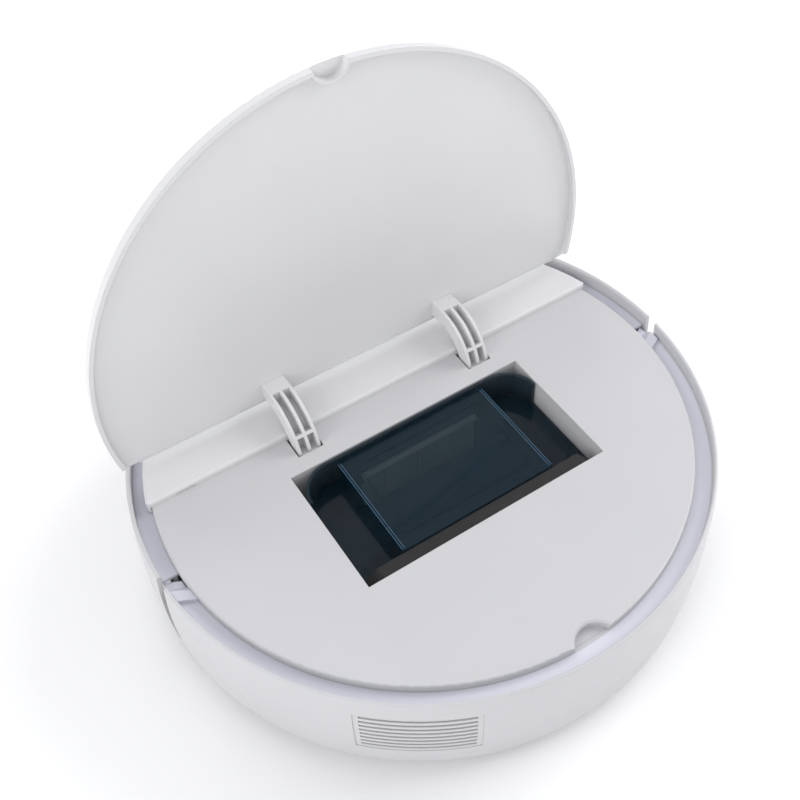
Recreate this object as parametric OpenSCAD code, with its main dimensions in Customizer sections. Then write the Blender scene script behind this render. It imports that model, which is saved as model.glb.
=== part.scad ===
// Round robot floor vacuum: lift-up rear lid on two ribbed gooseneck arms, lift-out dust bin,
// sprung front bumper, sprung drive wheels, swivel caster, main brush and two side brushes.
// Millimetres. X runs across the body, +Y is the rear, +Z is up, and the floor is z = 0.
// The lid stands open; its own shape is drawn closed and turned open about the hinge pins.

/* [Body] */
// Diameter of the body at its top rim
body_d = 330; // [326:1:340]
// Height of the rim and of the closed lid above the floor
body_h = 78; // [77:0.5:82]
// Height of the housing's lower edge above the floor
skirt_gap = 12; // [11.5:0.25:13]
// Wall thickness of the outer shells
shell_t = 2; // [1.6:0.1:2.4]
// Radius of the outer wall's barrel curve from top to bottom
wall_curve_r = 325; // [300:5:400]
// Height above the floor at which the outer wall is widest
belly_z = 47.5; // [45:0.5:50]
// Distance behind the centre at which the fixed rear wall starts
rear_wall_y = 13.4; // [12:0.2:15]

/* [Deck and channel] */
// Depth of the deck below the rim
deck_drop = 4; // [3.6:0.1:4.6]
// Thickness of the deck
deck_t = 2.5; // [2:0.1:2.8]
// Rounding of the deck's edge
deck_edge_r = 1; // [0.6:0.1:1.4]
// Width of the channel between the deck and the rim
channel_w = 9.6; // [9.2:0.1:10.5]
// Depth of the channel below the deck
channel_d = 5; // [4.6:0.1:5.4]
// Radius of the finger notch in the deck's rear edge
notch_r = 12.2; // [12:0.2:14]
// Distance of the finger notch's centre outside the deck's edge
notch_out = 4.6; // [4:0.2:5]
// Distance behind the centre at which the channel's end block ends
land_y = 18.5; // [17:0.5:22]

/* [Exhaust louvres] */
// Number of louvre slots
louvre_n = 8; // [5:1:8]
// Height of one louvre slot
louvre_h = 1.9; // [1.5:0.1:2.4]
// Pitch of the louvre slots
louvre_pitch = 4.3; // [4:0.1:4.5]
// Angle from the side to the middle of the louvres
louvre_mid = 56; // [54:1:58]
// Angle that the louvres span
louvre_span = 20; // [16:1:21]
// Depth of the uppermost slot's top edge below the deck
louvre_top = 11; // [10:0.5:12]

/* [Lid] */
// Gap between the lid's edge and the inside of the rim
lid_gap = 6.4; // [5:0.2:7]
// Distance of the lid's straight edge in front of the centre
lid_chord = 36.8; // [36.4:0.1:37]
// Thickness of the lid's plate
lid_t = 2.8; // [2.4:0.1:3]
// Depth of the lid's lip below its plate
lip_d = 3.6; // [3:0.1:3.8]
// Width of the lid's lip
lip_w = 2.4; // [2:0.1:2.6]
// Rounding of the lid's top edge
lid_edge_r = 1.6; // [1.2:0.1:2]
// Outer radius of the lid's finger scoop
scoop_r = 11; // [9:0.2:11.2]
// Angle by which the lid stands open
open_angle = 92.3; // [88:0.1:93]

/* [Front panel] */
// Distance of the panel's rear edge in front of the centre
panel_y = 38.6; // [38.4:0.1:39.4]
// Gap between the front panel's edge and the inside of the rear rim's circle
panel_gap = 7; // [6.5:0.1:7.5]
// Rounding of the panel's corners in plan
panel_corner_r = 2.5; // [2:0.5:6]
// Rounding of the panel's top edge
edge_r = 2; // [1.8:0.1:2.2]

/* [Hinge] */
// Distance of the hinge axis in front of the centre
hinge_y = 54; // [53.8:0.1:54.4]
// Depth of the hinge axis below the deck
hinge_drop = 8; // [7.8:0.1:8.2]
// Distance of each arm's middle from the body's middle
arm_x = 58; // [57:0.5:60]
// Width of an arm
arm_w = 14; // [12:0.5:14.5]
// Inner radius of the arm's curve about the hinge axis
arm_ri = 20.3; // [20.2:0.1:21]
// Outer radius of the arm's curve about the hinge axis
arm_ro = 30; // [29:0.1:30.4]
// Thickness of the arm's walls and ribs
arm_rib = 1.9; // [1.5:0.1:2.2]
// Radius of a hinge pin
hinge_pin_r = 1.5; // [1.3:0.1:1.8]

/* [Dust bin] */
// Width of the bin well in the deck
well_w = 153.4; // [151:0.2:155]
// Distance of the well's front edge in front of the centre
well_front = 13.4; // [13:0.2:14]
// Length of the well from front to rear
well_l = 81.9; // [81:0.2:83]
// Clearance round the bin in its well
bin_gap = 0.7; // [0.5:0.1:0.9]
// Wall thickness of the bin
bin_t = 1.8; // [1.4:0.1:2.2]
// Depth of the bin's window below the deck
window_drop = 4; // [3:0.2:5]
// Half width of the bin's window
window_hw = 49.5; // [47:0.5:52]
// Length from front to rear of the bin's dark rear frame
bin_frame_l = 9.2; // [8.4:0.2:9.6]
// Depth of the grip recesses below the bin's window
grip_d = 14; // [11:0.5:16]

/* [Bumper] */
// Wall thickness of the bumper
bumper_t = 2.5; // [2.2:0.1:2.6]
// Distance behind the centre at which the bumper ends
bumper_end = 6; // [5:0.2:6.5]
// Travel of the bumper
bumper_travel = 4; // [3:0.5:4.5]
// Height of the sensor window's lower edge above the floor
sensor_z = 27; // [26:0.5:29]
// Height of the sensor window
sensor_h = 26; // [20:0.5:28]

/* [Drive wheels] */
// Diameter of the drive wheels
wheel_d = 68; // [67:0.5:69]
// Width of the drive wheels
wheel_w = 20; // [16:0.5:20.5]
// Distance of each wheel's middle from the body's middle
wheel_x = 114; // [113.5:0.25:114.5]
// Distance of the wheel axle behind the centre
wheel_y = 8; // [7:0.5:9]

/* [Brushes and caster] */
// Radius of the main brush
brush_r = 16; // [15:0.25:16.2]
// Distance of the main brush's axis in front of the centre
brush_y = 34.5; // [34.5:0.25:35.5]
// Length of the main brush
brush_l = 138; // [130:1:139]
// Length of a side brush's bristles from its axis
side_brush_l = 44; // [38:1:46]
// Diameter of the caster wheel
caster_d = 22; // [20:0.5:22.5]
// Distance of the caster wheel's axle behind its swivel axis
caster_trail = 7; // [6:0.5:9]

/* [Hidden] */
$fn = 96;

// Clearances that the whole model shares
seat = 0.3;      // between pieces that seat on each other
run = 0.05;      // radial play of a shaft in its bore
big = 400;       // larger than anything in the model

// Heights and radii of the housing
rim_r = body_d / 2;
rim_ri = rim_r - shell_t;
wall_top_z = body_h - shell_t / 2;
belly = wall_curve_r - sqrt(pow(wall_curve_r, 2) - pow(wall_top_z - belly_z, 2));
foot_r = wall_r(skirt_gap);
lid_r = rim_ri - lid_gap;
panel_r = rim_ri - panel_gap;
deck_z = body_h - deck_drop;
deck_under = deck_z - deck_t;
deck_r = rim_ri - channel_w;
channel_z = deck_z - channel_d;
pan_z = skirt_gap - 2;
pan_t = 2.5;
pan_top = pan_z + pan_t;
pan_rear_r = foot_r - shell_t - 0.4;
pan_front_r = foot_r - bumper_t - bumper_travel - 1;
pan_wall_r = pan_front_r - 1;
shelf_z = channel_z - shell_t - 2 * seat;           // top of the shelf under the bumper's ledge
ledge_y = bumper_end - 3;                           // where the bumper's ledge ends
shelf_y = ledge_y + bumper_travel + seat;           // where the ramp leaves the shelf
land_top_y = rear_wall_y - 1.5;
land_skew = 25;      // angle in plan by which the land's edges lean to the rear as they run in
land_z = body_h - lid_t - lip_d - seat;
land_r = rim_ri - 1;

sensor_t = 1.5;                   // thickness of the sensor window
sensor_end = bumper_end - 15;     // where the sensor window ends

// The main brush and its tunnel
brush_z = brush_r + 1;
tunnel_r = brush_r + 1.3;
tunnel_t = 1.6;
tunnel_hw = brush_l / 2 + 2.5;
mouth_l = 2 * tunnel_r;      // length of the brush mouth in the pan, front to rear
journal_r = 3;

// The bin well and the bin
well_rear = well_l - well_front;
well_wall = 1.8;
bin_w = well_w - 2 * bin_gap;
bin_y0 = -well_front + bin_gap;
bin_y1 = well_rear - bin_gap;
bin_z = pan_top + seat;
bin_top = deck_z - window_drop;
bin_rim_z = deck_z - 0.8;      // top of the wall round the bin's front
window_t = 1.8;
window_seat = bin_top - window_t;
bin_split = bin_y1 - bin_frame_l;
grip_z = bin_top - grip_d;
bin_front_r = 20;
bin_rear_r = 8;
inlet_x = -4.5;
inlet_hw = 37;
inlet_z0 = 20;
inlet_z1 = brush_z + tunnel_r - 1;
flap_axis_z = deck_z - 26;
flap_axis_y = bin_y0 + bin_t + 2.4;
flap_pin_r = 1.5;
flap_hw = 40;
flap_t = 1.6;

// The hinge
hinge_z = deck_z - hinge_drop;
arm_end = 84;        // angle over which the arm curves, down from its straight end
lever_span = 24;     // angle that the lever web spans below the curve
lever_lap = 2;       // angle by which the lever web overlaps the curve
slot_front = 38;
slot_rear = hinge_y - arm_ro - 0.6;
ear_gap = 0.6;
ear_t = 2;
hub_r = 4.6;

// The fan, the battery and the brush drive
blower_x = 42;
blower_z = 42;
blower_r = 26;
blower_y0 = well_rear + well_wall;
blower_l = 26;
brush_gear_w = 10.6;
brush_gear_r = 14;
brush_motor_r = 12;
brush_motor_y = 32;      // distance of the brush motor's axis in front of the brush
battery_w = 2 * (tunnel_hw - 4.5);
battery_l = 36;
battery_h = 20;
battery_y = -brush_y - tunnel_r - 5.7 - battery_l;

// The drive wheels, the side brushes and the caster
wheel_r = wheel_d / 2;
arm_pivot_y = wheel_y + 36;
arm_pivot_z = wheel_r + 6;
wheel_wall = 1.6;
gear_case_w = 15;
gear_case_x = wheel_x - wheel_w / 2 - 1.5 - gear_case_w;
axle_r = 3;
arm_pin_r = 2;
wheel_well_x0 = gear_case_x - 1;
wheel_well_x1 = wheel_x + wheel_w / 2 + 1.5;
wheel_well_y0 = wheel_y - wheel_r - 4;
wheel_well_y1 = arm_pivot_y + 11;
side_x = 88;
side_y = -100;
side_hub_r = 10;
side_shaft_r = 2.5;
caster_y = 46 - rim_r;
caster_r = caster_d / 2;
caster_w = 9;
caster_pin_r = 3;
caster_pocket_r = caster_trail + caster_r + 3.5;
caster_wall = 1.6;
caster_flange = caster_pocket_r + caster_wall;    // half the side of the mount's square flange

// Charging contacts, cliff sensors and the screws that join the pan to the housing
contact_x = 34;
contact_y = 21 - rim_r;
contact_w = 16;
contact_l = 9;
cliff_r = 4.6;
cliff_circle_r = rim_r - 20;
cliff_angle = 32.5;
cliff_places = [cliff_circle_r * [-cos(cliff_angle), -sin(cliff_angle)], [0, 16.4 - rim_r],
    cliff_circle_r * [cos(cliff_angle), -sin(cliff_angle)]];
// Angle of each screw and its distance inside the rim
screw_polar = [[25.5, 21], [70, 21], [114.5, 21], [154.5, 21], [205.8, 23.5], [334.2, 23.5]];
screw_places = [for (p = screw_polar) (rim_r - p[1]) * [cos(p[0]), sin(p[0])]];
screw_r = 1.5;
boss_r = 4;
boss_z = pan_top + 8;
screw_reach = 10;     // length of screw above the pan's bosses

// The start button and the board under it
button_y = 61 - rim_r;
button_r = 12;
stem_r = 2.4;
board_z = deck_under - 12;
board_w = 2 * (contact_x + 28);
board_l = 46;
board_t = 1.6;
board_y = button_y - 34;

// Radius of the outer wall at a height
function wall_r(z) = rim_r + belly - wall_curve_r + sqrt(pow(wall_curve_r, 2) - pow(z - belly_z, 2));

// A flat ring standing on a height
module ring(r1, r2, z, h) {
    translate([0, 0, z]) difference() {
        cylinder(r = r2, h = h);
        translate([0, 0, -1]) cylinder(r = r1, h = h + 2);
    }
}

// Everything behind, or in front of, a distance along Y
module behind(y) {
    intersection() {
        children();
        translate([-big / 2, y, -big / 2]) cube(big);
    }
}
module ahead_of(y) {
    intersection() {
        children();
        translate([-big / 2, y - big, -big / 2]) cube(big);
    }
}

// A copy on each side of the middle plane
module both_sides() {
    children();
    mirror([1, 0, 0]) children();
}

// An outline drawn in (Y, Z) and drawn out across X, centred on x
module across(x, w) {
    translate([x - w / 2, 0, 0]) rotate([90, 0, 90]) linear_extrude(w) children();
}

// A cylinder along X, centred on x
module axle(x, y, z, r, w) {
    translate([x - w / 2, y, z]) rotate([0, 90, 0]) cylinder(r = r, h = w);
}

// Part of a flat ring, from one angle to another that is up to 90 degrees on
module arc_band(r1, r2, a1, a2) {
    far = 2 * r2;
    intersection() {
        difference() {
            circle(r2);
            circle(r1);
        }
        polygon([[0, 0], far * [cos(a1), sin(a1)], far * [cos((a1 + a2) / 2), sin((a1 + a2) / 2)],
            far * [cos(a2), sin(a2)]]);
    }
}

// An outline drawn about the hinge axis in (Y, Z) and drawn out across X, centred on x
module about_hinge(x, w) {
    translate([0, -hinge_y, hinge_z]) across(x, w) children();
}

// A rectangle whose outer top corner is rounded
module edged(w, h, e) {
    square([w, h - e]);
    square([w - e, h]);
    translate([w - e, h - e]) intersection() {
        circle(e, $fn = 48);
        square(2 * e);
    }
}

// A round plate with a rounded top edge, cut along a straight edge that is rounded too.
// It keeps what lies behind the straight edge, or in front of it when side is -1.
module d_plate(r, z0, z1, edge_y, side, e) {
    intersection() {
        translate([0, 0, z0]) rotate_extrude() edged(r, z1 - z0, e);
        across(0, big) translate([edge_y + side * big, z0]) mirror([side > 0 ? 1 : 0, 0])
            edged(big, z1 - z0, e);
    }
}

// What rounds off a D plate's corner to a radius c, in plan, when it is taken away
module corner_cut(r, edge_y, side, c, z0, h) {
    cy = edge_y + side * c;
    cx = sqrt((r - c) * (r - c) - cy * cy);
    k = (r + 2) / (r - c);
    translate([0, 0, z0]) linear_extrude(h) difference() {
        polygon([[cx, cy], [cx, edge_y - side * 2], [r + 9, edge_y - side * 2], [cx * k, cy * k]]);
        translate([cx, cy]) circle(c, $fn = 64);
    }
}

// ---------------------------------------------------------------- housing

// Outline of a layer of the barrel-curved wall, from one depth inside its surface to another
module wall_layer(from, to, z0, z1) {
    intersection() {
        difference() {
            translate([rim_r + belly - wall_curve_r - from, belly_z]) circle(wall_curve_r, $fn = 720);
            translate([rim_r + belly - wall_curve_r - to, belly_z]) circle(wall_curve_r, $fn = 720);
        }
        translate([rim_r - 20, z0]) square([40, z1 - z0]);
    }
}

// Outline of the outer wall with a rounded rim, revolved by the shells
module wall_outline(t) {
    top = body_h - t / 2;
    wall_layer(0, t, skirt_gap, top);
    translate([wall_r(top) - t / 2, top]) intersection() {
        circle(d = t, $fn = 48);
        translate([-t, 0]) square(2 * t);
    }
}

// The block that closes the rear channel's end, with a shelf under the bumper's ledge and a
// ramp up from it; its edges lean to the rear as they run in from the rim
module channel_land() {
    foot_z = shelf_z - shell_t;
    side = [[ledge_y - 0.7, foot_z], [ledge_y - 0.7, shelf_z], [shelf_y, shelf_z],
        [land_top_y, land_z], [land_y, land_z], [land_y, foot_z]];
    intersection() {
        ring(deck_r, land_r, foot_z, body_h - foot_z);
        translate([rim_ri, 0, 0]) rotate([0, 0, -land_skew]) across(0, 60)
            polygon([for (p = side) [p[0] * cos(land_skew), p[1]]]);
    }
}

// The shallow frame round the louvres, and their slots
module louvres() {
    frame_z = deck_z - louvre_top + 1.5;
    frame_h = louvre_n * louvre_pitch + 2;
    rotate([0, 0, louvre_mid - louvre_span / 2 - 1]) rotate_extrude(angle = louvre_span + 2)
        wall_layer(-2, 0.4, frame_z - frame_h, frame_z);
    for (i = [0 : louvre_n - 1])
        translate([0, 0, deck_z - louvre_top - louvre_h - i * louvre_pitch])
            rotate([0, 0, louvre_mid - louvre_span / 2])
                rotate_extrude(angle = louvre_span)
                    translate([rim_ri - 3, 0]) square([10, louvre_h]);
}

// Rear outer wall, the floor of the rear channel and the blocks at its ends
module upper_housing() {
    color("white") difference() {
        union() {
            behind(rear_wall_y) rotate_extrude() wall_outline(shell_t);
            behind(rear_wall_y)
                ring(deck_r - shell_t, wall_r(channel_z) - shell_t / 2, channel_z - shell_t, shell_t);
            both_sides() channel_land();
        }
        louvres();
    }
}

// The deck, the wall that carries it on the channel's floor and the pocket under the lid's scoop
module deck() {
    pocket_y = deck_r + notch_out;
    bevel = 2;
    color("white") difference() {
        union() {
            translate([0, 0, deck_under]) rotate_extrude() edged(deck_r, deck_t, deck_edge_r);
            ring(deck_r - shell_t, deck_r, channel_z, channel_d - deck_t + 0.1);
            intersection() {
                translate([0, pocket_y, channel_z - shell_t]) cylinder(r = notch_r + shell_t, h = shell_t);
                cylinder(r = deck_r - shell_t, h = body_h);
            }
            intersection() {
                translate([0, pocket_y, channel_z]) cylinder(r = notch_r + shell_t, h = channel_d);
                cylinder(r = deck_r, h = body_h);
            }
        }
        translate([-well_w / 2, -well_front, deck_under - 1]) cube([well_w, well_l, deck_t + 2]);
        both_sides() translate([arm_x - arm_w / 2 - 1, -slot_front, deck_under - 1])
            cube([arm_w + 2, slot_front - slot_rear, deck_t + 2]);
        translate([0, pocket_y, channel_z]) {
            cylinder(r = notch_r, h = channel_d + 1);
            translate([0, 0, channel_d - bevel / 2])
                cylinder(r1 = notch_r, r2 = notch_r + bevel, h = bevel);
        }
        translate([0, button_y, deck_under - 1]) cylinder(r = stem_r + 1, h = deck_t + 2);
    }
}

// Walls of the bin's well, with the dirt inlet in front and the fan's inlet behind
module bin_well() {
    fan_mouth_r = blower_r / 2;
    color("white") translate([0, 0, pan_top]) difference() {
        translate([-well_w / 2 - well_wall, -well_front - well_wall, 0])
            cube([well_w + 2 * well_wall, well_l + 2 * well_wall, deck_under - pan_top]);
        translate([-well_w / 2, -well_front, -1]) cube([well_w, well_l, big]);
        translate([inlet_x - inlet_hw, -well_front - well_wall - 1, inlet_z0 - pan_top])
            cube([2 * inlet_hw, well_wall + 2, inlet_z1 - inlet_z0]);
        translate([blower_x, well_rear - 1, blower_z - pan_top]) rotate([-90, 0, 0])
            cylinder(r = fan_mouth_r, h = well_wall + 2);
    }
}

// Posts under the deck that take the screws from the pan
module screw_posts() {
    color("white") for (p = screw_places) translate([p[0], p[1], boss_z + seat]) difference() {
        cylinder(r = boss_r, h = deck_under - boss_z - seat);
        translate([0, 0, -1]) cylinder(r = screw_r + run, h = screw_reach + 4);
    }
}

module front_panel() {
    slit_x = 128;
    slit_w = 11;
    slit_h = 0.8;
    color("white") difference() {
        union() {
            d_plate(panel_r, deck_z, body_h, -panel_y, -1, edge_r);
            ahead_of(-panel_y)
                ring(deck_r + seat, panel_r, channel_z + 2 * seat, channel_d - seat);
        }
        ahead_of(-panel_y - shell_t)
            translate([0, 0, deck_z - 1]) cylinder(r = deck_r - 1, h = 1 + deck_drop - shell_t);
        translate([0, button_y, deck_z]) cylinder(r = button_r + seat, h = deck_drop + 1);
        both_sides() corner_cut(panel_r, -panel_y, -1, panel_corner_r, channel_z, body_h);
        translate([slit_x - slit_w / 2, -panel_y - shell_t - 1, deck_z + 0.4])
            cube([slit_w, shell_t + 2, slit_h]);
    }
}

module start_button() {
    cap_h = 3;
    travel_room = 1.6;
    color("gainsboro") translate([0, button_y, 0]) {
        translate([0, 0, deck_z + travel_room]) cylinder(r = button_r, h = cap_h - 0.8);
        translate([0, 0, deck_z + travel_room + cap_h - 0.8])
            cylinder(r1 = button_r, r2 = button_r - 0.8, h = 0.8);
        translate([0, 0, board_z + 5]) cylinder(r = stem_r, h = deck_z + travel_room - board_z - 5);
    }
}

module main_board() {
    switch_w = 6;
    post_x = board_w / 2 - 8;
    post_y = board_y + 10;
    color("darkgreen") difference() {
        union() {
            translate([-board_w / 2, board_y, board_z - board_t]) cube([board_w, board_l, board_t]);
            translate([-switch_w / 2, button_y - switch_w / 2, board_z]) cube([switch_w, switch_w, 3.4]);
            for (x = [-40, -20, 12, 28]) translate([x, board_y + 4, board_z]) cube([12, 10, 4]);
            for (x = [-48 : 16 : 48]) translate([x, board_y + board_l - 5, board_z])
                cylinder(r = 3, h = 6, $fn = 24);
            both_sides() translate([post_x, post_y, board_z]) cylinder(r = 3, h = deck_under - board_z);
        }
        both_sides() translate([post_x, post_y, board_z - 3]) cylinder(r = 1.2, h = 10);
    }
}

// ---------------------------------------------------------------- lid and hinge

// Turns a shape that is drawn closed to its open place
module opened() {
    translate([0, -hinge_y, hinge_z]) rotate([open_angle, 0, 0]) translate([0, hinge_y, -hinge_z])
        children();
}

module lid_cover() {
    plate_z = body_h - lid_t;
    lip_z = plate_z - lip_d;
    scoop_y = deck_r + notch_out;
    scoop_t = 1.5;
    lip_end = lid_chord - 3;
    color("white") opened() difference() {
        union() {
            d_plate(lid_r, plate_z, body_h, -lid_chord, 1, lid_edge_r);
            behind(-lip_end) ring(lid_r - lip_w, lid_r, lip_z, lip_d + 0.1);
            intersection() {
                translate([0, scoop_y, lip_z]) cylinder(r = scoop_r, h = lip_d + 0.1);
                cylinder(r = lid_r, h = body_h);
            }
            translate([-lid_r + 14, -lid_chord, plate_z - 0.7]) cube([2 * lid_r - 28, 1, 0.8]);
        }
        translate([0, scoop_y, lip_z - 1]) cylinder(r = scoop_r - scoop_t, h = lip_d + 2.2);
    }
}

// One gooseneck arm: straight end under the lid, a curved trough with a middle rib and a
// cross web, then a narrow lever to the hub on the pin
module hinge_arm(x) {
    plate_z = body_h - lid_t;
    trough = arm_w / 2 - arm_rib;
    skin_r = arm_ri + arm_rib;
    half_rib = arm_rib / 2;
    web = 26;      // angle from the cross web to the end of the curve
    web_t = 4;     // angle that a web spans
    color("whitesmoke") opened() difference() {
        union() {
            about_hinge(x, arm_w) {
                arc_band(arm_ri, arm_ro, -arm_end, 0);
                translate([arm_ri, 0]) square([arm_ro - arm_ri, plate_z - hinge_z]);
            }
            about_hinge(x, arm_w / 2 - 1) {
                arc_band(hub_r - 1, arm_ro - 3, -arm_end - lever_span, lever_lap - arm_end);
            }
            axle(x, -hinge_y, hinge_z, hub_r, arm_w);
        }
        for (side = [-1, 1]) about_hinge(x + side * (trough + half_rib) / 2, trough - half_rib) {
            arc_band(skin_r, arm_ro + 2, web - arm_end + web_t / 2, -2);
            arc_band(skin_r, arm_ro + 2, web_t - arm_end, web - arm_end - web_t / 2);
        }
        axle(x, -hinge_y, hinge_z, hinge_pin_r + run, arm_w + 2);
    }
}
module hinge_arm_left() { hinge_arm(-arm_x); }
module hinge_arm_right() { hinge_arm(arm_x); }

// A U-shaped bracket under the deck: two ears, a cross wall and the bar that stops the lid
module hinge_bracket(x) {
    ear_x = arm_w / 2 + ear_gap + ear_t / 2;
    front = 14;
    rear = 15;
    ear_d = 6;
    stop_r = 1.2;
    stop_at = 12.5;
    stop_angle = open_angle - arm_end + lever_lap + asin((stop_r + 0.15) / stop_at);
    color("dimgray") difference() {
        union() {
            for (side = [-1, 1]) across(x + side * ear_x, ear_t)
                polygon([[-hinge_y - front, deck_under], [-hinge_y + rear, deck_under],
                    [-hinge_y + ear_d, hinge_z - ear_d], [-hinge_y - front, hinge_z - ear_d]]);
            across(x, 2 * ear_x) polygon([[-hinge_y - front, deck_under],
                [-hinge_y - front + ear_t, deck_under], [-hinge_y - front + ear_t, hinge_z - ear_d],
                [-hinge_y - front, hinge_z - ear_d]]);
            axle(x, -hinge_y + stop_at * cos(stop_angle), hinge_z + stop_at * sin(stop_angle),
                stop_r, 2 * ear_x);
        }
        axle(x, -hinge_y, hinge_z, hinge_pin_r + run / 2, 2 * ear_x + 2 * ear_t);
    }
}
module hinge_bracket_left() { hinge_bracket(-arm_x); }
module hinge_bracket_right() { hinge_bracket(arm_x); }

module hinge_pins() {
    color("silver") both_sides()
        axle(arm_x, -hinge_y, hinge_z, hinge_pin_r, arm_w + 2 * ear_gap + 2 * ear_t);
}

// ---------------------------------------------------------------- bumper

module bumper_shell() {
    color("white") difference() {
        ahead_of(bumper_end) rotate_extrude() wall_outline(bumper_t);
        ahead_of(sensor_end) rotate_extrude()
            wall_layer(-2, sensor_t + 0.1, sensor_z - 0.15, sensor_z + sensor_h + 0.15);
    }
}

// Floor of the bumper's channel, seated against the inside of its wall
module bumper_ledge() {
    top = channel_z - seat;
    color("white") ahead_of(ledge_y) difference() {
        translate([0, 0, top - shell_t]) cylinder(r = wall_r(top) - bumper_t - run, h = shell_t);
        translate([0, 0, top - shell_t - 1]) cylinder(r = deck_r - 4, h = shell_t + 2);
    }
}

module bumper_window() {
    color("black") ahead_of(sensor_end - 0.2) rotate_extrude()
        wall_layer(0, sensor_t, sensor_z, sensor_z + sensor_h);
}

// ---------------------------------------------------------------- dust bin

// The bin's outline with two sizes of rounded corner, set in by a distance
module bin_outline(inset) {
    w = bin_w - 2 * inset;
    l = bin_y1 - bin_y0 - 2 * inset;
    rf = bin_front_r - inset;
    rr = bin_rear_r - inset;
    translate([0, bin_y0 + inset]) {
        translate([-w / 2, rf]) square([w, l - rf - rr]);
        translate([-w / 2 + rf, 0]) square([w - 2 * rf, rf + 1]);
        translate([-w / 2 + rr, l - rr - 1]) square([w - 2 * rr, rr + 1]);
        both_sides() {
            translate([w / 2 - rf, rf]) circle(rf);
            translate([w / 2 - rr, l - rr]) circle(rr);
        }
    }
}

module bin_prism(inset, z0, z1) {
    translate([0, 0, z0]) linear_extrude(z1 - z0) bin_outline(inset);
}

module bin_body() {
    inner_hw = window_hw - bin_t;
    lug_w = 3;
    grip_y = bin_y0 + bin_front_r;
    color("darkslategray", 0.6) difference() {
        union() {
            difference() {
                union() {
                    ahead_of(bin_split) bin_prism(0, bin_z, bin_top);
                    ahead_of(grip_y) bin_prism(0, bin_top - 1, bin_rim_z);
                }
                bin_prism(bin_t, bin_top, bin_rim_z + 1);
                intersection() {
                    ahead_of(bin_split - bin_t) bin_prism(bin_t, bin_z + bin_t, bin_top + 1);
                    translate([-inner_hw, -big / 2, 0]) cube([2 * inner_hw, big, big]);
                }
                ahead_of(bin_split - bin_t) bin_prism(bin_t, bin_z + bin_t, grip_z - bin_t);
                both_sides() intersection() {
                    bin_prism(bin_t, grip_z, bin_top + 1);
                    translate([window_hw, -big / 2, 0]) cube([big, big, big]);
                }
                both_sides() translate([window_hw, grip_y, grip_z]) cube(big);
                translate([-window_hw + 0.5, bin_y0 + bin_t, window_seat])
                    cube([2 * window_hw - 1, bin_split - bin_y0, 5]);
            }
            translate([inlet_x, 0, 0]) both_sides()
                translate([flap_hw + 0.5, bin_y0 + 0.5, flap_axis_z - 2.6])
                    cube([lug_w, flap_axis_y - bin_y0 + 2, 5.2]);
        }
        translate([inlet_x - inlet_hw, bin_y0 - 1, inlet_z0])
            cube([2 * inlet_hw, bin_t + 2, inlet_z1 - inlet_z0]);
        translate([-inner_hw + 6, bin_split - bin_t - 1, bin_z + 8])
            cube([2 * inner_hw - 12, bin_t + 2, window_seat - bin_z - 14]);
        axle(inlet_x, flap_axis_y, flap_axis_z, flap_pin_r, 2 * (flap_hw + 2.5));
    }
}

// The bin's clear window, with a shallow groove round it
module bin_window() {
    w = 2 * (window_hw - 0.6);
    l = bin_split - bin_y0 - bin_t - 0.6;
    y0 = bin_y0 + bin_t + 0.3;
    groove_in = 8;
    groove_w = 0.5;
    groove_d = 0.3;
    color("darkslategray", 0.5) translate([0, y0, window_seat]) difference() {
        translate([-w / 2, 0, 0]) cube([w, l, window_t]);
        translate([-w / 2 + groove_in, groove_in, window_t - groove_d]) difference() {
            cube([w - 2 * groove_in, l - 2 * groove_in, 1]);
            translate([groove_w, groove_w, -1])
                cube([w - 2 * (groove_in + groove_w), l - 2 * (groove_in + groove_w), 3]);
        }
    }
}

module bin_frame() {
    hw = window_hw - 8;
    z0 = bin_z + 8;
    z1 = window_seat - 5;
    slant_x = 65;      // where the frame's top turns down towards the sides
    color([0.2, 0.19, 0.19]) difference() {
        behind(bin_split + 0.1) bin_prism(0, bin_z, bin_top - 1);
        both_sides() translate([0, bin_y1 + 1, 0]) rotate([90, 0, 0]) linear_extrude(bin_frame_l + 2)
            polygon([[slant_x, bin_top], [bin_w / 2 + 1, grip_z], [bin_w / 2 + 1, bin_top]]);
        translate([-hw, bin_split - 1, z0]) cube([2 * hw, bin_frame_l - 1.2, z1 - z0]);
        translate([-hw + 6, bin_y1 - 4, z0 + 4]) cube([2 * hw - 12, 6, z1 - z0 - 8]);
    }
}

// Pleated paper filter in the bin's rear frame
module bin_filter() {
    hw = window_hw - 8 - 0.2;
    z0 = bin_z + 8.2;
    z1 = window_seat - 5.2;
    pitch = 4;
    depth = bin_frame_l - 3.4;
    n = floor(2 * hw / pitch);
    step = 2 * hw / n;
    paper = 0.7;
    y0 = bin_split + 0.4;
    near = [for (i = [0 : 2 * n]) [-hw + i * step / 2, i % 2 == 0 ? 0 : depth - paper]];
    far = [for (i = [2 * n : -1 : 0]) [-hw + i * step / 2, i % 2 == 0 ? paper : depth]];
    color("ivory") translate([0, y0, z0]) linear_extrude(z1 - z0) polygon(concat(near, far));
}

module bin_flap() {
    z0 = inlet_z0 - 1.5;
    color("lightslategray") {
        axle(inlet_x, flap_axis_y, flap_axis_z, flap_pin_r - run, 2 * (flap_hw + 2.4));
        axle(inlet_x, flap_axis_y, flap_axis_z, 2.2, 2 * flap_hw);
        translate([inlet_x - flap_hw, bin_y0 + bin_t + seat, z0])
            cube([2 * flap_hw, flap_t, flap_axis_z - z0]);
        for (x = [-24, 0, 24]) translate([inlet_x + x - 1, bin_y0 + bin_t + seat, z0])
            cube([2, flap_t + 1, flap_axis_z - z0]);
    }
}

// ---------------------------------------------------------------- base pan

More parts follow.
